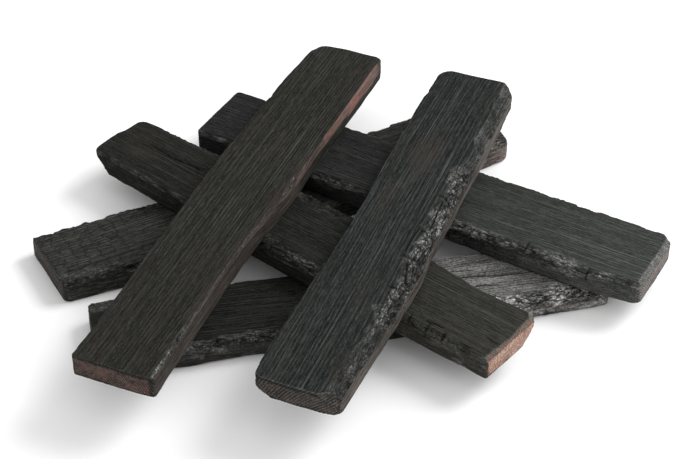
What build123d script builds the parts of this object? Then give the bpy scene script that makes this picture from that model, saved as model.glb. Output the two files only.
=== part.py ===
"""A loose pile of flat charred wood sticks, laid crosswise in level layers of two.

Frame: millimetres, +Z up. The origin is on the floor under the middle of the pile's bounding box.
Each stick also has a frame of its own: X runs down its length and Y points to its left side.
"""

import os
from dataclasses import dataclass
from math import hypot

from build123d import *

# Driving dimensions, in millimetres.
THICKNESS = 21.2  # every stick is sawn from the same board
REST_GAP = 0.3  # from one layer's upper faces to the next layer's undersides
EDGE_ROUND = 2.4  # rounding burnt onto the rims of the upper and lower faces
CUTTER_MARGIN = 20.0  # how far a cutting prism reaches past the solid


@dataclass
class Stick:
    """One stick: where it lies, its outline seen from above, and how far its edges have burnt back."""

    layer: int  # 0 lies on the floor
    middle: tuple  # of its length, on the plan
    heading: float  # of its length, degrees anticlockwise from the pile's +X
    length: float
    left: tuple  # half width on the left side at the start, the middle and the end
    right: tuple  # the same on the right side
    corners: tuple  # corner radii: start right, start left, end left, end right
    worn_right: tuple = ()  # (width, depth) of the bevel burnt along the upper right edge
    worn_left: tuple = ()  # the same along the upper left edge


STICKS = {
    "top_left_stick": Stick(
        layer=2, middle=(-93, -25), heading=67.6, length=468,
        left=(33, 39, 32), right=(35, 34, 34.5), corners=(3.5, 4, 15, 9),
    ),
    "top_right_stick": Stick(
        layer=2, middle=(42, -57), heading=68.6, length=439,
        left=(37.5, 34, 38), right=(34, 39.5, 33), corners=(8, 14, 6, 15),
        worn_right=(12, 8),
    ),
    "middle_front_stick": Stick(
        layer=1, middle=(-42, -51), heading=-37.7, length=435,
        left=(31, 34.5, 33.5), right=(27.5, 34, 33), corners=(14, 6, 13, 5),
        worn_right=(6, 5),
    ),
    "middle_back_stick": Stick(
        layer=1, middle=(66, 14), heading=-29.1, length=437,
        left=(35.5, 36.8, 36.4), right=(35, 39.5, 36), corners=(6, 6, 9, 7),
        worn_right=(8, 6),
    ),
    "bottom_back_stick": Stick(
        layer=0, middle=(-63.5, 31.5), heading=28, length=442,
        left=(36, 33.5, 37), right=(33, 37.5, 35), corners=(6, 3.5, 7, 8),
        worn_right=(6, 5),
    ),
    "bottom_front_stick": Stick(
        layer=0, middle=(1, -111), heading=11.7, length=434,
        left=(33.5, 35.5, 33), right=(36, 36.5, 34), corners=(6, 5, 8, 6),
        worn_right=(6, 5), worn_left=(4, 3),
    ),
}


def outline(stick):
    """The stick seen from above: two square-cut ends, two bowed sides and four rounded corners."""
    start, end = -stick.length / 2, stick.length / 2
    start_right, start_left = (start, -stick.right[0]), (start, stick.left[0])
    end_left, end_right = (end, stick.left[2]), (end, -stick.right[2])
    rim = [
        Line(start_right, start_left),
        ThreePointArc(start_left, (0, stick.left[1]), end_left),
        Line(end_left, end_right),
        ThreePointArc(end_right, (0, -stick.right[1]), start_right),
    ]
    face = make_face(rim)
    corners = (start_right, start_left, end_left, end_right)
    for corner, radius in zip(corners, stick.corners):
        face = fillet(face.vertices().sort_by_distance(corner)[0], radius)
    return face


def bevel_cutter(stick, side, half_widths, bevel):
    """The prism that takes the burnt bevel off one upper edge. side is 1 for the left and -1 for the right."""
    width, depth = bevel
    extra = CUTTER_MARGIN / hypot(width, depth)
    edge = min(half_widths[0], half_widths[2])
    inner, outer = edge - width * (1 + extra), edge + width * extra
    high, low = THICKNESS + depth * extra, THICKNESS - depth * (1 + extra)
    far = outer + CUTTER_MARGIN
    corners = [(side * y, z) for y, z in ((inner, high), (far, high), (far, low), (outer, low))]
    profile = Plane.YZ * make_face(Polyline(corners, close=True))
    return Pos(-stick.length, 0, 0) * extrude(profile, 2 * stick.length)


def make_stick(stick):
    """The stick as a solid in its own frame, lying on z = 0."""
    solid = extrude(outline(stick), THICKNESS)
    faces = solid.faces().sort_by(Axis.Z)
    solid = fillet(faces[0].edges() + faces[-1].edges(), EDGE_ROUND)
    if stick.worn_right:
        solid -= bevel_cutter(stick, -1, stick.right, stick.worn_right)
    if stick.worn_left:
        solid -= bevel_cutter(stick, 1, stick.left, stick.worn_left)
    return solid


def lay(stick):
    """The stick's solid turned to its heading and laid on its layer."""
    height = stick.layer * (THICKNESS + REST_GAP)
    return Pos(*stick.middle, height) * Rot(0, 0, stick.heading) * make_stick(stick)


def shift_to_origin(solids):
    """The move that brings the middle of the solids' bounding box over the origin."""
    boxes = [solid.bounding_box() for solid in solids]
    middle_x = (min(box.min.X for box in boxes) + max(box.max.X for box in boxes)) / 2
    middle_y = (min(box.min.Y for box in boxes) + max(box.max.Y for box in boxes)) / 2
    return Pos(-middle_x, -middle_y, 0)


def main():
    os.makedirs("parts", exist_ok=True)
    pile = {name: lay(stick) for name, stick in STICKS.items()}
    shift = shift_to_origin(pile.values())
    for name, solid in pile.items():
        export_step(shift * solid, f"parts/{name}.step")


main()
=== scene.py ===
"""A loose pile of flat charred wood sticks: their burnt surfaces, materials, light and camera.

Each stick is shaped in a frame of its own, in millimetres: X along its length, Y across towards its left
side, Z up from its underside. It is then turned to its heading and set down in its place in the pile.
"""

from dataclasses import dataclass
from itertools import product
from math import cos, hypot, pi, radians, sin

import bpy
import numpy as np
from mathutils import Matrix, Vector


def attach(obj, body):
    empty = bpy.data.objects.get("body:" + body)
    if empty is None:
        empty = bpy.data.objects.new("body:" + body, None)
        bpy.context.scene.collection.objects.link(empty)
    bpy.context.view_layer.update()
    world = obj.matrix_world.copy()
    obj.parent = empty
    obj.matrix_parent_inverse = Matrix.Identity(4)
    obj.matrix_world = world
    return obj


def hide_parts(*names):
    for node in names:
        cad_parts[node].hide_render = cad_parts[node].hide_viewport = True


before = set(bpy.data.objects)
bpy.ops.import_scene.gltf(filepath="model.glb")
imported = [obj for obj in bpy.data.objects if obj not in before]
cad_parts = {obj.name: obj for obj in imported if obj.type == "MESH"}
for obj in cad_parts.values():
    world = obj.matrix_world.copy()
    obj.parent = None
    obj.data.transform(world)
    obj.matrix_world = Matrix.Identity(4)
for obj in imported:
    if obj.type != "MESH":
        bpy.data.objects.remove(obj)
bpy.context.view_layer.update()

MM = 0.001

# ---------------------------------------------------------------------------------------- the sticks

THICKNESS = 21.2
LAYER_STEP = 21.5  # from one layer's underside to the next
PILE_SHIFT = (1.43, 36.14)  # puts the middle of the pile's box over the origin
NOMINAL_HALF_WIDTH = 35.0
GROWTH = 1.0  # added to the sides, because the burning below only takes material away
OUTLINE_SMOOTHING = 12.0  # how far each way along the stick its outline is averaged
END_BLEND = 40.0  # length over which an end's own shape fades into the stick
BEVEL_SOFTNESS = 0.6  # how far the edge between a face and its bevel is rounded
MESH_CELLS = (326, 112, 26)  # along, across and through a stick


@dataclass
class Char:
    """A stretch of blistered, cracked char along one upper edge."""

    side: int  # 1 for the left edge, -1 for the right
    start: float  # along the stick
    end: float
    over: float  # how far it reaches over the upper face
    down: float  # how far it reaches down the side face
    strength: float = 1.0
    # how much painted sheen the flakes in this stretch get
    painted_sheen: float = 1.0


@dataclass
class Wood:
    """A stretch of a side or end face where the wood shows through the char."""

    face: str  # left, right, start or end
    start: float  # along the stick, or across it on an end face
    end: float
    low: float  # above the underside
    high: float
    strength: float = 1.0


@dataclass
class Stick:
    """One stick's outline, grain and burn marks."""

    node: str
    slot: str
    layer: int  # 0 on the floor, 1 and 2 above it
    middle: tuple  # the middle of the length, before the pile is centred
    heading: float
    length: float
    left: tuple  # (along, half width) on the left side
    right: tuple  # the same on the right side
    corners: tuple  # corner radii: start right, start left, end left, end right
    seed: int
    pith: tuple  # where the growth rings are centred, across and up
    ring: float  # width of one growth ring
    groove: float  # depth of the grooves between the rings
    start_edge: tuple = ((0, 2),)  # (across, how far the end reaches past the plain length)
    end_edge: tuple = ((0, 2),)
    wander: float = 2.0  # how far the grain strays sideways
    edge_round: float = 1.6
    bevel_right: tuple = (3.5, 3.0)  # (width, depth) burnt off the upper right edge
    bevel_left: tuple = (0.8, 0.7)
    bevel_start: tuple = (0.8, 0.7)
    bevel_end: tuple = (0.8, 0.7)
    notch_left: float = 0.0  # depth of the bites out of the upper left edge
    cuts: tuple = ()  # burnt-off corners: (end, side, up, along, across, down), the first three as 1 or -1
    lumps: float = 0.4  # depth of the broad hollows
    checks: tuple = ()  # long cracks: (along, across, length, width, depth, slant)
    ladder: float = 0.0  # strength of the cross cracks over the whole upper face
    chars: tuple = ()
    woods: tuple = ()
    painted_top_sheen: tuple = ()  # (start, full, strength) of the painted sheen on the upper face
    pale: tuple = ((0, 0),)  # (along, how much paler than usual)
    stains: tuple = ()  # brown patches: (along, across, length, width, strength)
    rim_highlight: float = 0.35  # how strong the painted highlight along the upper edges is
    start_rim_highlight: float = 0.35  # the same at the start
    end_rim_highlight: float = 0.35  # the same at the end


STICKS = [
    Stick(
        node="top_left_stick", slot="even_char", layer=2, middle=(-93, -25), heading=67.6,
        length=468, seed=11,
        left=((-234, 35), (-160, 35), (-60, 37.8), (45, 39.6), (130, 37.3), (170, 35.6), (234, 30.6)),
        right=((-234, 35.3), (-110, 32), (-50, 31.5), (20, 36), (90, 34.5), (150, 35.4), (234, 35.7)),
        corners=(3, 3, 15, 7), start_edge=((-35, 1.2), (-20, 2.4), (35, 2.6)),
        end_edge=((-35, 2.6), (0, 3.2), (20, 2)),
        pith=(75, -50), ring=2.3, groove=0.2, wander=1.8,
        bevel_right=(1.6, 1.5), notch_left=0.4, rim_highlight=0.14, cuts=((1, -1, -1, 6, 7, 6),),
        chars=(
            Char(-1, -240, -175, 5, 3, 0.9, 2.6),
            Char(-1, -190, 70, 3.5, 1.5, 0.6, 0.65),
            Char(1, 60, 150, 2.5, 3, 0.6, 0.1),
            Char(1, 212, 240, 12, 3, 0.3, 0.3),
        ),
        woods=(
            Wood("right", 150, 224, 8.5, 23, 0.95),
            Wood("right", 90, 160, 12, 23, 0.7),
            Wood("right", 30, 100, 14, 22, 0.62),
            Wood("right", -60, 40, 15, 19.5, 0.42),
            Wood("right", -240, 40, -5, 24, 0.2),
            Wood("start", -32, 34, 1.5, 18, 0.64),
        ),
        stains=((-30, -30, 330, 14, 0.4),),
    ),
    Stick(
        node="top_right_stick", slot="grooved_char", layer=2, middle=(42, -57), heading=68.6,
        length=439, seed=23,
        left=((-220, 38), (-155, 38.3), (-60, 35.2), (-25, 34.5), (135, 39.1), (195, 39.2), (220, 38)),
        right=((-220, 33.5), (-147, 37.5), (-60, 40.8), (-28, 38), (100, 37), (180, 35.5), (220, 33.5)),
        corners=(7, 9, 13, 16), start_edge=((-35, 1.5), (-20, 4), (35, 3)),
        end_edge=((-35, 3.2), (10, 1.9), (35, 2)),
        pith=(-60, -40), ring=2.3, groove=0.36, wander=3.2,
        edge_round=2.2, bevel_right=(10, 6), bevel_start=(1.4, 1.3), lumps=0.5, notch_left=0.4, rim_highlight=0.36,
        cuts=((-1, -1, 1, 9, 15, 12), (-1, 1, -1, 6, 11, 12), (1, 1, 1, 5, 9, 6)), start_rim_highlight=0.55,
        checks=(
            (-66, -30, 30, 1.5, 2.0, 0.35),
            (12, -29, 46, 1.1, 1.6, 0.03),
            (-24, -21, 40, 1.0, 1.4, -0.05),
            (38, -27, 2.2, 9, 1.3, 0.0),
            (-12, -28, 2.2, 8, 1.3, 0.0),
            (-48, -26, 2.2, 10, 1.3, 0.0),
            (-88, -28, 2.2, 8, 1.2, 0.0),
        ),
        chars=(
            Char(-1, -135, 85, 17, 13, 1.0, 1.5),
            Char(-1, -228, -125, 15, 10, 0.65, 0.55),
            Char(-1, 75, 228, 12, 10, 0.55, 0.25),
            Char(1, -130, -40, 3, 3, 0.5, 0.1),
            Char(-1, -232, 232, 3, 24, 0.3, 0.4),
        ),
        woods=(
            Wood("right", -230, 230, -5, 15, 0.42),
            Wood("start", -33, 34, 2, 17.5, 0.5),
        ),
        stains=((96, 7, 90, 34, 0.55), (20, 18, 70, 18, 0.35), (-190, -24, 70, 14, 0.4)),
    ),
    Stick(
        node="middle_front_stick", slot="flaky_char", layer=1, middle=(-42, -51), heading=-37.7,
        length=435, seed=37,
        left=(
            (-218, 31), (-200, 34.5), (-150, 34.8), (-100, 37), (-65, 41), (-32, 42.4), (26, 41.2),
            (65, 39.4), (100, 37.4), (130, 35), (155, 32), (218, 33.8),
        ),
        right=((-218, 30), (-200, 29.5), (-150, 31.5), (-60, 33.5), (33, 37.5), (150, 35), (218, 34.2)),
        corners=(9, 7, 6, 2.5), start_edge=((-30, 3.6), (-6, 4.4), (4, 4), (10, 1.8), (30, 0.8)),
        end_edge=((-30, 1), (0, 2.6), (25, 3.2), (32, 2.6)), bevel_end=(4.6, 3.2), end_rim_highlight=0.8,
        cuts=((-1, -1, -1, 16, 17, 18), (1, 1, -1, 12, 17, 13), (1, 1, 1, 7, 8, 5)),
        pith=(70, -50), ring=1.8, groove=0.22, wander=2.0,
        bevel_right=(4, 3.5), bevel_left=(1.2, 1), notch_left=0.6,
        checks=(
            (-150, 7, 64, 0.9, 1.3, 0.02),
            (-119, 13, 26, 0.9, 1.2, 0.5),
            (160, -25, 20, 0.9, 1.2, 0.1),
            (208, -14, 14, 0.8, 1.0, 0.0),
            (118, -32, 2.2, 7, 1.0, 0.0),
            (139, -32, 2.2, 6, 1.0, 0.0),
            (157, -31, 2.2, 7, 1.0, 0.0),
            (173, -31, 2.2, 6, 1.0, 0.0),
        ),
        chars=(
            Char(1, -45, 25, 14, 6, 0.9, 0.5),
            Char(-1, -35, 70, 14, 7, 0.9, 0.6),
            Char(-1, 70, 205, 6, 6, 0.7, 0.4),
            Char(1, -200, -100, 5, 3, 0.7, 0.3),
            Char(-1, -225, -60, 4, 24, 0.45, 0.05),
            Char(-1, 60, 225, 4, 24, 0.4, 0.65),
            Char(1, 150, 205, 5, 3, 0.5, 0.3),
        ),
        woods=(
            Wood("end", -33, 29, 1.6, 21, 1.0),
            Wood("right", 70, 225, -5, 12, 0.05),
        ),
        pale=((-218, 0.06), (-60, 0), (40, 0.1), (110, 0.54), (218, 0.72)), rim_highlight=0.3,
        stains=((-185, -8, 50, 20, 0.45),),
    ),
    Stick(
        node="middle_back_stick", slot="even_char", layer=1, middle=(66, 14), heading=-29.1,
        length=437, seed=41,
        left=((-219, 37.5), (-81, 39.8), (87, 40.5), (150, 40.3), (180, 40.7), (219, 39.5)),
        right=((-219, 34.5), (-90, 37.5), (60, 38.5), (172, 39.3), (219, 34)),
        corners=(6, 6, 9, 8), start_edge=((-35, 1.5), (35, 2.2)), end_edge=((-35, 1.8), (0, 2.4), (35, 2)),
        bevel_end=(5, 4.2), bevel_start=(2, 1.5), end_rim_highlight=1.0,
        cuts=((1, 1, 1, 8, 10, 7), (1, -1, 1, 9, 11, 8)),
        pith=(-80, -50), ring=2.0, groove=0.22, wander=1.8,
        bevel_right=(6, 5), notch_left=0.7, rim_highlight=0.5,
        chars=(
            Char(-1, 20, 222, 10, 6, 0.8, 1.3),
            Char(-1, -15, 95, 11, 24, 0.85, 0.4),
            Char(-1, 60, 175, 13, 8, 0.8, 1.5),
            Char(-1, -225, 0, 3, 24, 0.45, 0.1),
            Char(-1, 0, 225, 3, 24, 0.45, 0.7),
            Char(-1, -150, -60, 10, 7, 0.8, 0.5),
            Char(1, -30, 150, 3.5, 4, 0.9, 0.3),
        ),
        woods=(Wood("end", -34, 34, 1.5, 18, 0.72), Wood("right", 110, 222, -5, 12, 0.13)),
        checks=((115, -32, 2.2, 9, 1.2, 0.0), (173, -36, 2.2, 7, 1.2, 0.0)),
        pale=((-219, 0), (-40, 0.1), (60, 0.6), (150, 0.9), (219, 1.0)),
    ),
    Stick(
        node="bottom_back_stick", slot="checked_char", layer=0, middle=(-63.5, 31.5), heading=28.0,
        length=442, seed=53,
        left=((-221, 40.4), (-150, 38.2), (-109, 36), (60, 38), (140, 40), (221, 42)),
        right=((-221, 32.5), (-172, 37), (-20, 38.5), (60, 42), (130, 39.5), (191, 37.5), (221, 35)),
        corners=(6, 3.5, 8, 9), start_edge=((-35, -0.4), (35, 1.6)),
        end_edge=((-35, 2.4), (-18, 3.4), (35, 2)),
        pith=(80, -45), ring=2.0, groove=0.26, wander=2.0,
        bevel_right=(5, 4), bevel_left=(1.2, 1.0), notch_left=1.1, ladder=0.85, rim_highlight=0.4,
        chars=(
            Char(1, -225, -60, 6, 4, 1.0, 0.4),
            Char(-1, -225, -60, 8, 5, 0.8, 0.5),
            Char(-1, -224, -160, 17, 5, 0.55, 0.5),
            Char(-1, 150, 228, 22, 8, 0.9, 1.8),
        ),
        woods=(
            Wood("start", -30, 36, 3, 19, 0.3),
            Wood("end", -34, 37, 1, 20, 0.45),
            Wood("right", 150, 228, -2, 20, 0.66),
        ),
        pale=((-221, 0.3), (-100, 0.15), (100, 0.05), (190, 0.8), (221, 1.0)),
    ),
    Stick(
        node="bottom_front_stick", slot="silvery_char", layer=0, middle=(1, -111), heading=11.7,
        length=434, seed=67,
        left=((-217, 33), (-190, 35.5), (-70, 36), (80, 33.5), (217, 33)),
        right=((-217, 34), (-150, 38), (-125, 36.5), (-70, 35.5), (34, 40), (130, 37), (217, 34)),
        corners=(6, 5, 9, 7), pith=(-75, -35), ring=2.1, groove=0.45, wander=6.0,
        edge_round=2.0, bevel_right=(7, 6), bevel_left=(2, 1.6), lumps=0.8, notch_left=0.6, rim_highlight=0.5,
        chars=(
            Char(-1, -150, -40, 11, 8, 0.9, 0.7),
            Char(-1, 80, 224, 17, 12, 1.0, 3.6),
            Char(-1, 60, 228, 3, 44, 0.5, 1.5),
            Char(1, -222, -175, 15, 6, 0.6, 0.5),
            Char(-1, -225, 0, 3, 24, 0.45, 0.75),
            Char(1, 120, 222, 6, 4, 0.6, 0.8),
        ),
        woods=(Wood("right", -225, 0, -5, 13, 0.14), Wood("right", 60, 228, -5, 12, 0.2)),
        checks=((70, 14, 90, 1.2, 1.6, -0.1), (110, 2, 110, 1.3, 1.6, -0.06), (95, -10, 70, 1.1, 1.4, -0.03)),
        # painted sheen over the upper face, from the middle towards the end
        painted_top_sheen=(0, 100, 0.72),
    ),
]


# ------------------------------------------------------------------------------------ noise and ramps

NOISE_TABLE = 48  # cells before the noise repeats
NEARBY = tuple(product((-1, 0, 1), repeat=3))  # a cell and the 26 round it


def ramp(low, high, value):
    """0 below low, 1 above high, and smooth between them. It falls instead where low is above high."""
    share = np.clip((value - low) / (high - low), 0, 1)
    return share * share * (3 - 2 * share)


def band(start, end, soft, value):
    """1 between start and end and 0 outside, fading over soft on each side of both."""
    return ramp(start - soft, start + soft, value) * (1 - ramp(end - soft, end + soft, value))


def noise(points, size, seed):
    """Smooth noise, mostly within -1 and 1, in cells of the given size.

    Uses on one stick differ in the seed or in the size of the cells, so that their patterns differ."""
    table = np.random.default_rng(seed).uniform(-1.6, 1.6, (NOISE_TABLE,) * 3)
    scaled = points / np.broadcast_to(np.asarray(size, float), 3)
    cell = np.floor(scaled).astype(int)
    share = scaled - cell
    share = share * share * (3 - 2 * share)
    total = np.zeros(len(points))
    for corner in product((0, 1), repeat=3):
        weight = np.prod(np.where(corner, share, 1 - share), axis=1)
        total += weight * table[tuple(((cell + corner) % NOISE_TABLE).T)]
    return total


def rough_noise(points, size, seed, octaves=3):
    """Noise with finer noise on top of it."""
    size = np.broadcast_to(np.asarray(size, float), 3)
    layers = [noise(points, size / 2**step, seed + step) / 1.8**step for step in range(octaves)]
    return sum(layers) / sum(1 / 1.8**step for step in range(octaves))


def blisters(points, size, jitter, seed):
    """Irregular cells: how near each point is to the crack round its cell, and the cell's own height."""
    rng = np.random.default_rng(seed)
    spots = 0.5 + jitter * rng.uniform(-0.5, 0.5, (NOISE_TABLE,) * 3 + (3,))
    tilts = rng.normal(0, 1, (NOISE_TABLE,) * 3 + (3,))
    scaled = points / np.asarray(size, float)
    base = np.floor(scaled).astype(int)
    nearest = np.full(len(points), np.inf)
    second = np.full(len(points), np.inf)
    height = np.zeros(len(points))
    for step in NEARBY:
        cell = base + step
        key = tuple((cell % NOISE_TABLE).T)
        away = scaled - cell - spots[key]
        distance = np.linalg.norm(away, axis=1)
        closer = distance < nearest
        second = np.where(closer, nearest, np.minimum(second, distance))
        height = np.where(closer, (away * tilts[key]).sum(1) + 0.5 * tilts[key][:, 0], height)
        nearest = np.where(closer, distance, nearest)
    return second - nearest, height


# ------------------------------------------------------------------------------------- mesh of a stick


def box_side(axis, side, cells):
    """The quads over one side of a box of unit cells, wound so that they face outwards."""
    others = [a for a in range(3) if a != axis]
    rows, columns = np.meshgrid(*(np.arange(cells[a] + 1) for a in others), indexing="ij")
    index = np.empty((3,) + rows.shape, int)
    index[axis] = side * cells[axis]
    index[others[0]] = rows
    index[others[1]] = columns
    ids = np.ravel_multi_index(index, [n + 1 for n in cells])
    quads = np.stack([ids[:-1, :-1], ids[1:, :-1], ids[1:, 1:], ids[:-1, 1:]], -1).reshape(-1, 4)
    return quads if (side == 1) != (axis == 1) else quads[:, ::-1]


def box_mesh(cells):
    """Vertices from -1 to 1 on each axis, and the quads that join them, all over a box."""
    quads = np.concatenate([box_side(axis, side, cells) for axis, side in product(range(3), (0, 1))])
    used, faces = np.unique(quads, return_inverse=True)
    index = np.stack(np.unravel_index(used, [n + 1 for n in cells]), -1)
    return 2 * index / np.array(cells) - 1, faces.reshape(-1, 4)


def normals_of(points, faces):
    """The outward normal at each vertex."""
    across = points[faces[:, 2]] - points[faces[:, 0]]
    along = points[faces[:, 3]] - points[faces[:, 1]]
    face_normals = np.cross(across, along)
    total = np.stack(
        [
            np.bincount(faces.ravel(), np.repeat(face_normals[:, axis], 4), len(points))
            for axis in range(3)
        ],
        -1,
    )
    return total / np.linalg.norm(total, axis=1, keepdims=True)


def half_widths(stick, along, leftward):
    """The outline's half width at each place along the stick, on the left or right side."""
    widths = []
    for outline in (stick.left, stick.right):
        places, values = zip(*outline)
        steps = [step * OUTLINE_SMOOTHING for step in (-1, -0.5, 0, 0.5, 1)]
        widths.append(sum(np.interp(along + step, places, values) for step in steps) / len(steps))
    return np.where(leftward, widths[0], widths[1])


def round_corners(stick, plan, sides):
    """Moves the plan's corners in onto arcs. plan is (along, across) for each vertex."""
    half = stick.length / 2
    for index, radius in enumerate(stick.corners):
        end = 1 if index >= 2 else -1
        side = 1 if index in (1, 2) else -1
        inset = np.stack([half - end * plan[:, 0], sides - side * plan[:, 1]], -1)
        share = np.clip(1 - inset / radius, 0, 1)
        reach = share.max(1)
        stretch = np.linalg.norm(share, axis=1)
        near = (share.min(1) > 0) & (side * plan[:, 1] > 0)
        pull = np.where(near, reach / np.maximum(stretch, 1e-9), 1)
        moved = (1 - share * pull[:, None]) * radius
        plan[near, 0] = end * (half - moved[near, 0])
        plan[near, 1] = side * (sides[near] - moved[near, 1])
    return plan


def end_reach(stick, points):
    """How far the nearer end is pushed along the stick, for each point, so that it has its own edge."""
    near_end = ramp(stick.length / 2 - END_BLEND, stick.length / 2, np.abs(points[:, 0]))
    start, end = (np.interp(points[:, 1], *zip(*edge)) for edge in (stick.start_edge, stick.end_edge))
    return near_end * np.where(points[:, 0] < 0, -start, end)


def plain_shape(stick, lattice):
    """The stick before it burnt: a board with slightly rounded edges, bowed sides and worn corners."""
    half = np.array([stick.length / 2, NOMINAL_HALF_WIDTH, THICKNESS / 2])
    points = lattice * half
    edge = points * (1, 0, 0)
    radius = stick.edge_round * (1 + 0.35 * noise(edge, 14, stick.seed))
    core = np.clip(points, -(half - radius[:, None]), half - radius[:, None])
    out = points - core
    points = core + out * (radius / np.linalg.norm(out, axis=1))[:, None]
    leftward = points[:, 1] > 0
    sides = half_widths(stick, points[:, 0], leftward) + GROWTH
    plan = np.stack([points[:, 0], points[:, 1] * sides / NOMINAL_HALF_WIDTH], -1)
    plan = round_corners(stick, plan, sides)
    plan[:, 0] += end_reach(stick, plan)
    return np.column_stack([plan, points[:, 2] + THICKNESS / 2]), sides


def cut_bevel(points, outward, reach, size, ragged):
    """Cuts one upper edge back to a bevel. outward is each point's distance out towards that edge."""
    width, depth = size
    slope = hypot(width, depth)
    over = (outward * depth + points[:, 2] * width) / slope
    limit = (reach * depth + THICKNESS * width) / slope - width * depth / slope * ragged
    beyond = over - limit
    soft = BEVEL_SOFTNESS
    push = np.where(beyond > -soft, (beyond + soft) ** 2 / (4 * soft), 0)
    push = np.where(beyond > soft, beyond, push)
    return push * depth / slope, push * width / slope


def bevel_edges(stick, points, sides):
    """Burns the upper edges back to rough bevels, with bites out of the left one."""
    bites = stick.notch_left * ramp(0.1, 0.8, noise(points, (6, 50, 50), stick.seed + 12))
    bites += 0.5 * stick.notch_left * ramp(0.3, 0.8, noise(points, (17, 50, 50), stick.seed + 13))
    for side, size in ((1, stick.bevel_left), (-1, stick.bevel_right)):
        ragged = 1 + 0.35 * noise(points, (26, 40, 40), stick.seed + side)
        ragged += 0.22 * noise(points, (8, 40, 40), stick.seed + 2 * side + 9)
        ragged = np.maximum(ragged, 0.2) + (2 * bites if side == 1 else 0)
        inward, down = cut_bevel(points, side * points[:, 1], sides, size, ragged)
        points = points - np.column_stack([np.zeros(len(points)), side * inward, down])
    reach = np.abs(end_reach(stick, points))
    for end, size in ((-1, stick.bevel_start), (1, stick.bevel_end)):
        ragged = np.maximum(1 + 0.25 * noise(points, (40, 22, 40), stick.seed + 14 + end), 0.4)
        inward, down = cut_bevel(points, end * points[:, 0], stick.length / 2 + reach, size, ragged)
        points = points - np.column_stack([end * inward, np.zeros(len(points)), down])
    return points


def cut_corners(stick, points, sides):
    """Burns single corners off along flat slopes. A cut's last three numbers are its reach on each edge."""
    for end, side, up, *reach in stick.cuts:
        below = THICKNESS - points[:, 2] if up > 0 else points[:, 2]
        inset = np.column_stack([stick.length / 2 - end * points[:, 0], sides - side * points[:, 1], below])
        ragged = 1 + 0.12 * rough_noise(points, (9, 9, 9), stick.seed + 80)
        short = np.maximum(ragged - (inset / reach).sum(1), 0)
        slope = 1 / np.array(reach)
        points = points - short[:, None] * slope / (slope**2).sum() * (end, side, up)
    return points


# ------------------------------------------------------------------------------- how a stick is burnt

CHAR_FADE = (8, 12)  # how far outside and inside the ends of its stretch the char fades
WOOD_SOFT_EDGE = 2.0  # how far each way the upper and lower edges of bare wood fade
WOOD_SOFT_SIDE = 9.0  # the same for its ends, along the stick
WOOD_SOFT_END = 2.5  # the same for its ends, across an end face
ON_END = (0.5, 0.8)  # how far a normal points along the stick where an end face starts, and is clear
FACES_UP = (0.3, 0.7)  # the same upwards, for the upper face
RIM_BAND = (10, 5)  # how far from an end its own rim value starts, and is full
END_ROUGHNESS = 1.3  # size of the roughness on an end face


def char_masks(stick, points, sides):
    """How blistered the surface is and how much painted sheen it gets at each vertex, 0 where it is neither.
    """
    outside, inside = CHAR_FADE
    burnt = np.zeros(len(points))
    painted_sheen = np.zeros(len(points))
    wobble = 1 + 0.28 * noise(points, (16, 60, 60), stick.seed + 5)
    wobble += 0.2 * noise(points, (6, 60, 60), stick.seed + 6)
    above = THICKNESS - points[:, 2]
    for char in stick.chars:
        inward = sides - char.side * points[:, 1]
        along = ramp(char.start - outside, char.start + inside, points[:, 0])
        along *= 1 - ramp(char.end - inside, char.end + outside, points[:, 0])
        top = 1 - ramp(0.55 * char.over, 1.1 * char.over, inward / wobble)
        below = 1 - ramp(0.5 * char.down, 1.1 * char.down, above / wobble)
        here = along * top * below * (char.side * points[:, 1] > 0)
        burnt = np.maximum(burnt, char.strength * here)
        painted_sheen = np.maximum(painted_sheen, char.painted_sheen * here)
    return burnt, painted_sheen


def wood_mask(stick, points, normals, sides):
    """How much bare wood shows at each vertex, from 0 to about 1."""
    total = np.zeros(len(points))
    wobble = 1.2 * rough_noise(points, (22, 7, 3), stick.seed + 70)
    for wood in stick.woods:
        if wood.face in ("left", "right"):
            side = 1 if wood.face == "left" else -1
            on_face = ramp(2.8, 1.4, sides - side * points[:, 1]) * (side * points[:, 1] > 0)
            place, soft = points[:, 0], WOOD_SOFT_SIDE
        else:
            end = 1 if wood.face == "end" else -1
            on_face = ramp(0.36, 0.9, end * normals[:, 0])
            place, soft = points[:, 1], WOOD_SOFT_END
        span = band(wood.start, wood.end, soft, place + wobble)
        rise = band(wood.low, wood.high, WOOD_SOFT_EDGE, points[:, 2] + wobble)
        total = np.maximum(total, wood.strength * on_face * span * rise)
    return total * (0.95 + 0.2 * noise(points, (34, 8, 6), stick.seed + 71))


def grain_drift(stick, points):
    """How far the grain strays sideways and up at each vertex, as a move of that vertex."""
    sideways = stick.wander * noise(points, (170, 60, 40), stick.seed + 20)
    sideways += 0.12 * stick.wander * noise(points, (55, 18, 18), stick.seed + 21)
    upward = 0.5 * stick.wander * noise(points, (140, 50, 40), stick.seed + 22)
    return np.column_stack([np.zeros(len(points)), sideways, upward])


def grain_depth(stick, points, grain, wave, char, on_end):
    """The depth of the grooves between the rings, of the fibres and of the broad hollows."""
    broken = np.clip(0.6 + 0.7 * noise(grain, (34, 4, 4), stick.seed + 24), 0.1, 1.4)
    fibre = 0.5 + 0.5 * rough_noise(grain, (70, 1.3, 1.3), stick.seed + 25, 2)
    ring_depth = stick.groove * wave * np.where(on_end > 0.5, 0.5, broken)
    depth = char * (ring_depth + 0.24 * fibre * (1 - on_end))
    depth += 0.15 * on_end * (0.5 + 0.5 * noise(points, END_ROUGHNESS, stick.seed + 26))
    depth += stick.lumps * (0.5 + 0.5 * rough_noise(points, (46, 16, 16), stick.seed + 27))
    return depth


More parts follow.
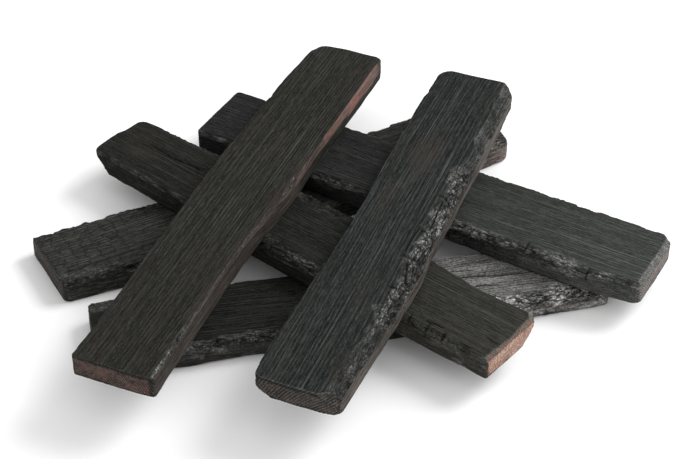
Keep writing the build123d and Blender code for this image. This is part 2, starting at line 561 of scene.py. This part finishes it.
def blister_pattern(stick, grain, burnt):
    """The cracks between large and small blisters, and how high each blister stands, where it is burnt."""
    crack = np.zeros(len(grain))
    height = np.zeros(len(grain))
    active = burnt > 0.01
    spread = grain[active]
    spread = spread + 1.2 * np.stack([noise(spread, 5, stick.seed + k) for k in (30, 31, 32)], -1)
    gap, tilt = blisters(spread, (9.5, 4.4, 4.4), 0.95, stick.seed + 33)
    fine_gap, fine_tilt = blisters(spread, (3.4, 1.7, 1.7), 0.9, stick.seed + 34)
    crack[active] = np.maximum(0.9 - 0.9 * ramp(0.04, 0.2, gap), 0.45 * (1 - ramp(0.03, 0.2, fine_gap)))
    height[active] = 0.6 * tilt + 0.45 * fine_tilt
    return crack, height


def carve_ladder(stick, points, on_end, depth, cracked):
    """Adds the cross cracks over the whole of the stick, in patches."""
    tiles = points + np.array([1, 0.6, 0.6]) * noise(points, (14, 9, 9), stick.seed + 40)[:, None]
    gap, tilt = blisters(tiles, (11, 6, 6), 0.6, stick.seed + 41)
    lines = 1 - ramp(0.03, 0.2, gap)
    place = ramp(-0.5, 0.3, noise(points, (60, 30, 30), stick.seed + 42)) * (1 - on_end)
    depth = depth + stick.ladder * place * (0.6 * lines + 0.14 * np.clip(tilt, -1.5, 1.5))
    return depth, np.maximum(cracked, 0.75 * stick.ladder * place * lines)


def carve_checks(stick, points, depth, cracked):
    """Adds the long cracks in the upper face."""
    for along, across, length, width, deep, slant in stick.checks:
        offset = points[:, 1] - across - slant * (points[:, 0] - along)
        offset = offset - 1.2 * noise(points, (22, 60, 60), stick.seed + 50)
        inside = 1 - ramp(0.32 * length, 0.52 * length, np.abs(points[:, 0] - along))
        line = inside * (1 - ramp(0.25 * width, width, np.abs(offset))) * (points[:, 2] > THICKNESS / 2)
        depth = depth + deep * line
        cracked = np.maximum(cracked, line)
    return depth, cracked


def edge_chips(stick, points, sides):
    """The depth of the small chips along the upper side edges."""
    chips = ramp(0.55, 1.0, noise(points, (7, 4, 4), stick.seed + 60))
    near_edge = ramp(9, 1, sides - np.abs(points[:, 1])) * ramp(12, 3, THICKNESS - points[:, 2])
    return 0.7 * chips * near_edge


def painted_flake_sheen(stick, points, painted_sheen, crack, height):
    """How much painted sheen the blistered char gets: painted glints most on the highest flakes, and in
    patches.
    """
    glint = ramp(-0.6, 0.9, height) * (1 - crack)
    patchy = 0.3 + 1.0 * ramp(-0.5, 0.6, noise(points, (17, 6, 6), stick.seed + 36))
    return painted_sheen * patchy * (0.5 + 0.5 * glint)


def painted_rim_highlight(stick, points, normals):
    """How much painted highlight the upper edges get, in patches, with a value of its own at each end."""
    upper_edge = ramp(0.25, 0.6, normals[:, 2]) * ramp(0.97, 0.8, normals[:, 2])
    rim_patches = ramp(-0.5, 0.7, rough_noise(points, (12, 5, 5), stick.seed + 64))
    first, full = (stick.length / 2 - inset for inset in RIM_BAND)
    near, far = (ramp(first, full, end * points[:, 0]) for end in (-1, 1))
    rim_highlight = (stick.rim_highlight + (stick.start_rim_highlight - stick.rim_highlight) * near + (stick.end_rim_highlight - stick.rim_highlight) * far) * upper_edge
    return rim_highlight * np.maximum(rim_patches, 0.6 * np.maximum(near, far))


def painted_top_sheen_mask(stick, points, grain, normals, wave):
    """How much painted sheen the upper face gets as a whole."""
    start, full, strength = stick.painted_top_sheen
    tone = 0.8 - 0.3 * wave + 0.25 * rough_noise(grain, (60, 4, 4), stick.seed + 65)
    return strength * ramp(start, full, points[:, 0]) * tone * ramp(*FACES_UP, normals[:, 2])


def stain_mask(stick, points, grain, normals):
    """How brown the upper face is at each vertex."""
    stain = np.zeros(len(points))
    for along, across, length, width, strength in stick.stains:
        away = np.hypot((points[:, 0] - along) / length, (points[:, 1] - across) / width) * 2
        away += 0.3 * noise(grain, (30, 4, 4), stick.seed + 66)
        stain = np.maximum(stain, strength * ramp(1.1, 0.2, away) * ramp(*FACES_UP, normals[:, 2]))
    return stain


def burn(stick, points, faces, sides):
    """Carves the grain, blisters and cracks into the surface, always inwards.

    Returns the burnt surface, the marks for the material, and each vertex's place in the grain."""
    normals = normals_of(points, faces)
    on_end = ramp(*ON_END, np.abs(normals[:, 0]))
    burnt, painted_sheen = char_masks(stick, points, sides)
    wood = wood_mask(stick, points, normals, sides)
    grain = points + grain_drift(stick, points)
    phase = np.hypot(grain[:, 1] - stick.pith[0], grain[:, 2] - stick.pith[1]) / stick.ring
    wave = 0.5 - 0.5 * np.cos(2 * np.pi * phase)

    depth = grain_depth(stick, points, grain, wave, 1 - 0.7 * wood, on_end)
    crack, height = blister_pattern(stick, grain, burnt)
    ragged = ramp(0.15, 0.55, burnt + 0.25 * noise(points, (9, 4, 4), stick.seed + 35))
    blister_depth = 0.7 - 0.45 * np.clip(height, -1.5, 1.5) + 0.9 * crack
    depth += burnt * ragged * (blister_depth - 0.25 * depth)
    cracked = burnt * ragged * crack
    if stick.ladder:
        depth, cracked = carve_ladder(stick, points, on_end, depth, cracked)
    depth, cracked = carve_checks(stick, points, depth, cracked)
    depth += edge_chips(stick, points, sides)

    # painted sheen and glints on the blistered char
    shine = painted_flake_sheen(stick, points, painted_sheen * ragged, crack, height)
    # painted highlight along the upper edges
    shine = np.maximum(shine, painted_rim_highlight(stick, points, normals))
    # painted sheen over the whole upper face
    if stick.painted_top_sheen:
        shine = np.maximum(shine, painted_top_sheen_mask(stick, points, grain, normals, wave))
    marks = {
        "crack": np.clip(cracked, 0, 1),
        "painted_sheen": np.clip(shine, 0, 2),
        "wood": np.clip(wood, 0, 1),
        "ring": phase,
        "burnt": np.clip(burnt * ragged, 0, 1),
        "end_grain": on_end,
        "stain": stain_mask(stick, points, grain, normals),
        "pale": np.interp(points[:, 0], *zip(*stick.pale)),
    }
    return points - np.maximum(depth, 0)[:, None] * normals, marks, grain


def add_mark(mesh, name, values):
    """Stores one number for each vertex, for the material to read."""
    mesh.attributes.new(name, "FLOAT", "POINT").data.foreach_set("value", values.astype(np.float32))


def make_stick(stick, lattice, faces, material):
    """Builds a stick and sets it down in its place in the pile."""
    plain, sides = plain_shape(stick, lattice)
    bevelled = bevel_edges(stick, plain, sides)
    cut = cut_corners(stick, bevelled, sides)
    burnt, marks, grain = burn(stick, cut, faces, sides)

    angle = radians(stick.heading)
    turn = np.array([[cos(angle), sin(angle), 0], [-sin(angle), cos(angle), 0], [0, 0, 1]])
    place = np.add((*stick.middle, stick.layer * LAYER_STEP), (*PILE_SHIFT, 0))
    placed = (burnt @ turn + place) * MM

    mesh = bpy.data.meshes.new(stick.node + "_char")
    mesh.from_pydata(placed.tolist(), [], faces.tolist())
    mesh.polygons.foreach_set("use_smooth", [True] * len(mesh.polygons))
    for name, values in marks.items():
        add_mark(mesh, name, values)
    grain_place = mesh.attributes.new("grain_place", "FLOAT_VECTOR", "POINT")
    grain_place.data.foreach_set("vector", (grain * MM).astype(np.float32).ravel())
    mesh.materials.append(material)
    mesh.update()

    piece = bpy.data.objects.new(stick.node + "_char", mesh)
    bpy.context.scene.collection.objects.link(piece)
    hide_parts(stick.node)
    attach(piece, stick.node)


# ------------------------------------------------------------------------------------------ materials


@dataclass
class Look:
    """The colours of one stick's char. All colours are linear."""

    dark: tuple
    light: tuple
    stain: tuple
    wood: tuple
    wood_dark: tuple
    # the colour of the painted sheen
    painted_sheen: tuple = (0.34, 0.34, 0.32)


LOOKS = {
    "top_left_stick": Look(
        dark=(0.0052, 0.0052, 0.0043), light=(0.052, 0.052, 0.044), stain=(0.040, 0.030, 0.026),
        wood=(0.285, 0.100, 0.075), wood_dark=(0.120, 0.092, 0.081),
    ),
    "top_right_stick": Look(
        dark=(0.0034, 0.0041, 0.0040), light=(0.0590, 0.0648, 0.0610), stain=(0.038, 0.031, 0.026),
        wood=(0.22, 0.175, 0.155), wood_dark=(0.118, 0.100, 0.087),
    ),
    "middle_front_stick": Look(
        dark=(0.0032, 0.0034, 0.0028), light=(0.0385, 0.0378, 0.0328), stain=(0.034, 0.029, 0.024),
        wood=(1.0, 0.75, 0.61), wood_dark=(0.27, 0.14, 0.10),
    ),
    "middle_back_stick": Look(
        dark=(0.0034, 0.0040, 0.0036), light=(0.0445, 0.0470, 0.0450), stain=(0.026, 0.026, 0.022),
        wood=(0.40, 0.35, 0.32), wood_dark=(0.19, 0.165, 0.155),
    ),
    "bottom_back_stick": Look(
        dark=(0.0040, 0.0042, 0.0036), light=(0.072, 0.074, 0.067), stain=(0.030, 0.029, 0.025),
        wood=(0.46, 0.375, 0.35), wood_dark=(0.17, 0.135, 0.125),
    ),
    "bottom_front_stick": Look(
        dark=(0.0034, 0.0036, 0.0028), light=(0.048, 0.050, 0.043), stain=(0.026, 0.024, 0.020),
        # this stick's painted sheen is paler than the others'
        wood=(0.24, 0.20, 0.185), wood_dark=(0.11, 0.096, 0.088), painted_sheen=(0.60, 0.59, 0.57),
    ),
}


MIX_FIRST, MIX_SECOND, MIX_RESULT = 6, 7, 2  # where a Mix node keeps its colour sockets
CELL_JITTER = 0.9  # how irregular the flakes' cells are


class Nodes:
    """Builds a material's nodes with one short call for each."""

    def __init__(self, material):
        material.use_nodes = True
        self.tree = material.node_tree
        self.tree.nodes.clear()

    def add(self, kind, inputs=(), **settings):
        """One node, with its settings made first and then its inputs, by name or by place."""
        node = self.tree.nodes.new(kind)
        for name, value in settings.items():
            setattr(node, name, value)
        for name, value in dict(inputs).items():
            self.feed(node.inputs[name], value)
        return node

    def feed(self, socket, value):
        """Links another node's output to a socket, or sets a plain value on it."""
        if isinstance(value, bpy.types.NodeSocket):
            self.tree.links.new(value, socket)
        else:
            socket.default_value = value

    def mark(self, name):
        """One of the numbers that burn() leaves on the vertices."""
        return self.add("ShaderNodeAttribute", attribute_name=name).outputs["Fac"]

    def math(self, operation, first, second=0.0, third=0.0):
        node = self.add("ShaderNodeMath", {0: first, 1: second, 2: third}, operation=operation)
        return node.outputs[0]

    def ramp(self, value, low, high, bottom=0.0, top=1.0):
        inputs = {"Value": value, "From Min": low, "From Max": high, "To Min": bottom, "To Max": top}
        return self.add("ShaderNodeMapRange", inputs).outputs["Result"]

    def mix(self, share, first, second):
        inputs = {"Factor": share, MIX_FIRST: first, MIX_SECOND: second}
        return self.add("ShaderNodeMix", inputs, data_type="RGBA").outputs[MIX_RESULT]

    def stretched(self, place, scale):
        """A place scaled by cells in a metre along, across and up through the grain."""
        return self.add("ShaderNodeMapping", {"Vector": place, "Scale": scale}).outputs[0]

    def noise(self, place, scale, detail=3.0, roughness=0.55):
        inputs = {
            "Vector": self.stretched(place, scale), "Scale": 1.0, "Detail": detail, "Roughness": roughness,
        }
        return self.add("ShaderNodeTexNoise", inputs).outputs["Fac"]

    def cell_colour(self, place, scale):
        """A random number for each of a pattern of irregular cells."""
        inputs = {"Vector": self.stretched(place, scale), "Scale": 1.0, "Randomness": CELL_JITTER}
        cells = self.add("ShaderNodeTexVoronoi", inputs)
        return self.add("ShaderNodeSeparateColor", {"Color": cells.outputs["Color"]}).outputs[0]

    def cell_edge(self, place, scale):
        """How far each point is from the edge of its cell, in the same pattern."""
        inputs = {"Vector": self.stretched(place, scale), "Scale": 1.0, "Randomness": CELL_JITTER}
        return self.add("ShaderNodeTexVoronoi", inputs, feature="DISTANCE_TO_EDGE").outputs["Distance"]

    def surface(self, inputs):
        """Ends the material in one shader."""
        shader = self.add("ShaderNodeBsdfPrincipled", inputs)
        output = self.add("ShaderNodeOutputMaterial")
        self.feed(output.inputs["Surface"], shader.outputs[0])


def opaque(colour):
    """The colour with full alpha, as a node takes it."""
    return (*colour, 1.0)


ASH_DARK = (5.0, 4.9, 4.8)  # how much paler the darkest parts of the palest char are
ASH_LIGHT = (2.12, 2.08, 2.03)  # the same for its lightest parts
CRACK_BLACK = (0.003, 0.003, 0.003)
FLAKE = (380, 700, 700)  # flakes in a metre, along and across the grain
CHAR_SPECULAR = 0.06
RELIEF = 0.0007  # height of the finest relief, in metres


class Grain:
    """The patterns along one stick's grain, which its colours and its relief share."""

    def __init__(self, nodes):
        self.place = nodes.add("ShaderNodeAttribute", attribute_name="grain_place").outputs["Vector"]
        ring_wave = nodes.math("COSINE", nodes.math("MULTIPLY", nodes.mark("ring"), 2 * pi))
        self.ring = nodes.ramp(ring_wave, -0.6, 1.0)
        self.burnt = nodes.mark("burnt")
        self.streak = nodes.noise(self.place, (10, 740, 740), detail=2.0, roughness=0.6)
        self.fine = nodes.noise(self.place, (110, 1150, 1150), detail=2.0, roughness=0.6)
        self.speck = nodes.noise(self.place, (480, 950, 950), detail=2.0, roughness=0.8)
        self.flake_tone = nodes.cell_colour(self.place, FLAKE)
        self.flake_gap = nodes.ramp(nodes.cell_edge(self.place, FLAKE), 0.01, 0.10, 1.0, 0.0)


def char_colour(nodes, grain, look):
    """Streaked near-black char with fine scratches, ashy where it is pale, and brown stains."""
    scratch = nodes.ramp(nodes.noise(grain.place, (8, 520, 520), detail=1.0), 0.65, 0.73)
    bright = nodes.math("MULTIPLY", nodes.ramp(grain.streak, 0.42, 0.68), 0.34)
    bright = nodes.math("MULTIPLY_ADD", nodes.ramp(grain.fine, 0.44, 0.66), 0.42, bright)
    bright = nodes.math("MULTIPLY_ADD", nodes.ramp(grain.speck, 0.47, 0.73), 0.42, bright)
    bright = nodes.math("MULTIPLY", bright, nodes.ramp(grain.ring, 0.0, 1.0, 0.6, 1.1))
    bright = nodes.math("MULTIPLY_ADD", scratch, 0.45, bright)
    pale = nodes.mark("pale")
    dark = nodes.mix(pale, opaque(look.dark), opaque(look.dark * np.array(ASH_DARK)))
    light = nodes.mix(pale, opaque(look.light), opaque(look.light * np.array(ASH_LIGHT)))
    patch = nodes.noise(grain.place, (9, 38, 60), detail=3.0)
    stain = nodes.math("MULTIPLY_ADD", nodes.ramp(patch, 0.5, 0.8), 0.3, nodes.mark("stain"))
    stain = nodes.math("MULTIPLY", stain, nodes.ramp(grain.fine, 0.3, 0.7, 0.5, 1.2))
    return nodes.mix(stain, nodes.mix(bright, dark, light), opaque(look.stain))


def painted_sheen_share(nodes, grain):
    """How much painted sheen shows: broken into flakes on blistered char, and specked everywhere."""
    flakes = nodes.ramp(grain.flake_tone, 0.1, 1.0, -0.85, 0.6)
    flakes = nodes.math("MULTIPLY_ADD", grain.burnt, flakes, 1.0)
    painted_sheen = nodes.math("MULTIPLY", nodes.mark("painted_sheen"), flakes)
    painted_sheen = nodes.math("MULTIPLY", painted_sheen, nodes.ramp(grain.speck, 0.40, 0.62, 0.35, 1.35))
    painted_sheen = nodes.math("MULTIPLY", painted_sheen, nodes.ramp(grain.fine, 0.36, 0.62, 0.65, 1.15))
    return nodes.ramp(painted_sheen, 0.0, 1.9)


def add_wood(nodes, grain, look, colour):
    """Lays singed and then bare wood over the char, and dark rings over an end face."""
    wood_streak = nodes.noise(grain.place, (40, 700, 260), detail=4.0, roughness=0.65)
    blotch = nodes.noise(grain.place, (60, 150, 200), detail=3.0)
    tone = nodes.math("MULTIPLY_ADD", blotch, 0.9, wood_streak)
    tone = nodes.math("MULTIPLY_ADD", grain.ring, -0.3, tone)
    tone = nodes.math("MULTIPLY_ADD", grain.fine, 0.6, tone)
    tone = nodes.math("MULTIPLY_ADD", grain.speck, 0.7, tone)
    bare = nodes.mix(nodes.ramp(tone, 1.33, 1.8), opaque(look.wood_dark), opaque(look.wood))
    streaks = nodes.ramp(grain.streak, 0.34, 0.62, 0.15)
    singed = nodes.mix(streaks, opaque(look.dark), opaque(look.wood_dark))
    wood = nodes.math("MULTIPLY", nodes.mark("wood"), nodes.ramp(grain.fine, 0.3, 0.7, 0.7, 1.3))
    colour = nodes.mix(nodes.ramp(wood, 0.05, 0.6), colour, singed)
    colour = nodes.mix(nodes.ramp(wood, 0.45, 1.0), colour, bare)
    end_line = nodes.math("MULTIPLY", nodes.mark("end_grain"), nodes.ramp(grain.ring, 0.1, 0.7, 0.7, 0.0))
    end_line = nodes.math("MULTIPLY", end_line, nodes.ramp(blotch, 0.35, 0.6, 0.5, 1.1))
    return nodes.mix(end_line, colour, opaque(look.dark))


def crack_share(nodes, grain):
    """How dark the cracks are: those in the surface, and the gaps between flakes."""
    crack = nodes.math("MULTIPLY", nodes.math("MULTIPLY", grain.burnt, grain.flake_gap), 0.7)
    crack = nodes.math("MAXIMUM", nodes.mark("crack"), crack)
    return nodes.ramp(crack, 0.1, 0.9, 0.0, 0.85)


def fine_relief(nodes, grain):
    """The relief that is too fine for the mesh: fibres, specks and flakes."""
    relief = nodes.math("MULTIPLY_ADD", grain.fine, 0.6, nodes.math("MULTIPLY", grain.streak, 0.8))
    relief = nodes.math("MULTIPLY_ADD", grain.speck, 0.5, relief)
    flaky = nodes.math("MULTIPLY", grain.burnt, nodes.math("SUBTRACT", grain.flake_tone, grain.flake_gap))
    relief = nodes.math("MULTIPLY_ADD", flaky, 1.2, relief)
    return nodes.add("ShaderNodeBump", {"Height": relief, "Strength": 0.8, "Distance": RELIEF}).outputs[0]


def char_material(node, look):
    """Charred wood: streaked near-black char, painted sheen on the flakes, dark cracks, and bare wood where
    it shows.
    """
    material = bpy.data.materials.new(node + "_char")
    nodes = Nodes(material)
    grain = Grain(nodes)
    painted_sheen = painted_sheen_share(nodes, grain)
    # painted sheen mixed over the char colour
    colour = nodes.mix(painted_sheen, char_colour(nodes, grain, look), opaque(look.painted_sheen))
    colour = add_wood(nodes, grain, look, colour)
    colour = nodes.mix(crack_share(nodes, grain), colour, opaque(CRACK_BLACK))
    rough = nodes.ramp(grain.streak, 0.3, 0.7, 0.75, 0.6)
    rough = nodes.math("SUBTRACT", rough, nodes.math("MULTIPLY", painted_sheen, 0.25))
    nodes.surface({
        "Base Color": colour, "Roughness": rough, "Normal": fine_relief(nodes, grain),
        "Specular IOR Level": CHAR_SPECULAR,
    })
    return material


# ------------------------------------------------------------------------- floor, light and the camera

VIEW_TARGET = Vector((1.4, 36.1, 0.0)) * MM
VIEW_DISTANCE = 1.562  # metres
VIEW_RISE = radians(39.885)
VIEW_ROLL = 0.006  # radians
SENSOR_WIDTH = 36  # millimetres of film, like the lens
LENS = 89.36
FAR_CLIP = 50  # metres
FLOOR_SIZE = 12.0  # metres
FLOOR_COLOUR = (0.96, 0.96, 0.96)
WORLD_STRENGTH = 0.78
LAMP_SIZE = 2.4  # metres
LAMPS = (("key", (3.2, 1.6, 3.2), 180), ("fill", (3.6, -2.4, 2.0), 60))  # name, place, watts


def make_floor():
    """A plain pale floor that runs well out of view."""
    half = FLOOR_SIZE / 2
    mesh = bpy.data.meshes.new("floor")
    corners = [(-half, -half, 0), (half, -half, 0), (half, half, 0), (-half, half, 0)]
    mesh.from_pydata(corners, [], [(0, 1, 2, 3)])
    material = bpy.data.materials.new("pale_floor")
    Nodes(material).surface(
        {"Base Color": opaque(FLOOR_COLOUR), "Roughness": 0.9, "Specular IOR Level": 0.1}
    )
    mesh.materials.append(material)
    floor = bpy.data.objects.new("floor", mesh)
    bpy.context.scene.collection.objects.link(floor)


def make_lamp(name, place, power):
    """A square white area light that points at the pile."""
    light = bpy.data.lights.new(name, "AREA")
    light.shape = "SQUARE"
    light.size = LAMP_SIZE
    light.energy = power
    lamp = bpy.data.objects.new(name, light)
    lamp.location = place
    lamp.rotation_euler = (VIEW_TARGET - Vector(place)).to_track_quat("-Z", "Y").to_euler()
    bpy.context.scene.collection.objects.link(lamp)


def make_world():
    """Even white light from all round."""
    world = bpy.data.worlds.new("studio")
    world.use_nodes = True
    background = world.node_tree.nodes["Background"]
    background.inputs["Color"].default_value = (1, 1, 1, 1)
    background.inputs["Strength"].default_value = WORLD_STRENGTH
    bpy.context.scene.world = world


def make_camera():
    """The camera at the photograph's viewing angle."""
    camera = bpy.data.cameras.new("camera")
    camera.sensor_width = SENSOR_WIDTH
    camera.lens = LENS
    camera.clip_end = FAR_CLIP
    viewer = bpy.data.objects.new("camera", camera)
    offset = Vector((0, -cos(VIEW_RISE), sin(VIEW_RISE))) * VIEW_DISTANCE
    aim = (-offset).to_track_quat("-Z", "Y").to_matrix().to_4x4()
    roll = Matrix.Rotation(VIEW_ROLL, 4, "Z")
    viewer.matrix_world = Matrix.Translation(VIEW_TARGET + offset) @ aim @ roll
    bpy.context.scene.collection.objects.link(viewer)
    bpy.context.scene.camera = viewer


lattice, faces = box_mesh(MESH_CELLS)
for stick in STICKS:
    make_stick(stick, lattice, faces, char_material(stick.node, LOOKS[stick.node]))

make_floor()
make_world()
for name, place, power in LAMPS:
    make_lamp(name, place, power)
make_camera()
bpy.context.scene.view_settings.view_transform = "Standard"
